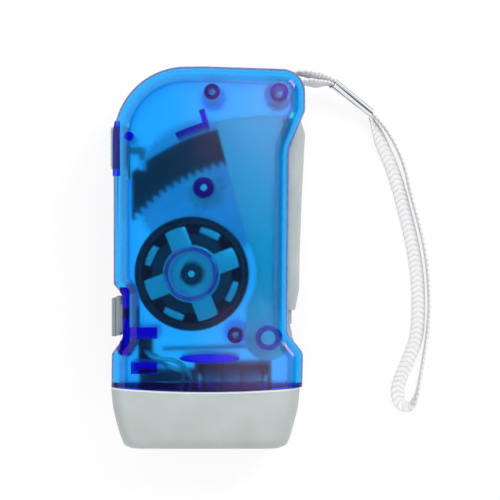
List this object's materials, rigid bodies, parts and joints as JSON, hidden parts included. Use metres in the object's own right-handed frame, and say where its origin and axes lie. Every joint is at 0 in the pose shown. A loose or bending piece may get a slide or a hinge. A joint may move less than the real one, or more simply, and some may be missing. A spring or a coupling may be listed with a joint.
{
  "type": "squeeze dynamo torch",
  "caption": "Hand-squeezed dynamo torch in a clear case: a side lever with a toothed sector spins a geared flywheel, with a lamp head, slide switch, lever lock and wrist strap.",
  "frame": {"origin": "on the flat back face, at the middle of the case's length and width", "axes": "+Y along the torch from the lens towards the strap, +X towards the lever, +Z out of the front face"},
  "size_m": [0.0894, 0.1057, 0.034],
  "materials": {
    "clear_blue_case": "clear, tinted blue",
    "clear_lens": "clear",
    "grey_plastic": "satin",
    "black_plastic": "satin",
    "white_plastic": "natural acetal",
    "bright_steel": "bright",
    "stator_steel": "pressed sheet",
    "dark_steel": "darkened",
    "magnet": "dull ferrite",
    "copper_wire": "enamelled",
    "mirror": "bright plated",
    "board": "varnished",
    "wire_sleeve": "soft sleeve",
    "strap_tape": "woven",
    "bright_chrome": "polished"
  },
  "bodies": {
    "case": {"front_shell": "clear_blue_case", "back_shell": "clear_blue_case", "case_screw_1": "bright_steel", "case_screw_2": "bright_steel", "case_screw_3": "bright_steel", "lens_bezel": "grey_plastic", "lens": "clear_lens", "reflector": "mirror", "lamp_1": "clear_lens", "lamp_2": "clear_lens", "lamp_3": "clear_lens", "lamp_board": "board", "battery_tray": "black_plastic", "button_cell_1": "bright_steel", "button_cell_2": "bright_steel", "button_cell_3": "bright_steel", "contact_left": "bright_steel", "contact_right": "bright_steel", "stator_front_plate": "stator_steel", "stator_back_plate": "stator_steel", "coil_bobbin": "black_plastic", "coil_winding": "copper_wire", "front_bush": "black_plastic", "return_spring": "bright_steel", "slide_switch": "dark_steel", "lead_wire_1": "wire_sleeve", "lead_wire_2": "wire_sleeve", "wrist_strap": "strap_tape", "strap_crimp": "bright_chrome"},
    "lever": {"squeeze_lever": "grey_plastic", "sector_rack": "black_plastic"},
    "gear_train": {"gear_shaft": "bright_steel", "drive_pinion": "white_plastic", "large_gear": "white_plastic"},
    "rotor": {"flywheel_cup": "dark_steel", "ring_magnet": "magnet", "rotor_shaft": "bright_steel", "flywheel_pinion": "white_plastic"},
    "switch": {"switch_knob": "grey_plastic"},
    "lock": {"lock_slider": "grey_plastic"}
  },
  "joints": [
    {"name": "lever_swing", "type": "hinge", "parent": "case", "child": "lever", "pos_m": [0.017, -0.022, 0.017], "axis": [0, 0, -1], "range_deg": [0, 18], "deforming": ["return_spring"]},
    {"name": "gear_spin", "type": "hinge", "parent": "case", "child": "gear_train", "pos_m": [-0.00073, 0.01936, 0.017], "axis": [0, 0, -1], "continuous": true},
    {"name": "flywheel_spin", "type": "hinge", "parent": "case", "child": "rotor", "pos_m": [-0.00415, -0.00439, 0.017], "axis": [0, 0, -1], "continuous": true},
    {"name": "switch_slide", "type": "slide", "parent": "case", "child": "switch", "axis": [0, 1, 0], "range_m": [0, 0.0015]},
    {"name": "lock_slide", "type": "slide", "parent": "case", "child": "lock", "axis": [0, 1, 0], "range_m": [-0.0025, 0]}
  ],
  "couplings": [
    {"joint": "gear_spin", "follows": "lever_swing", "ratio": 9.5714},
    {"joint": "flywheel_spin", "follows": "lever_swing", "ratio": -45.122}
  ]
}
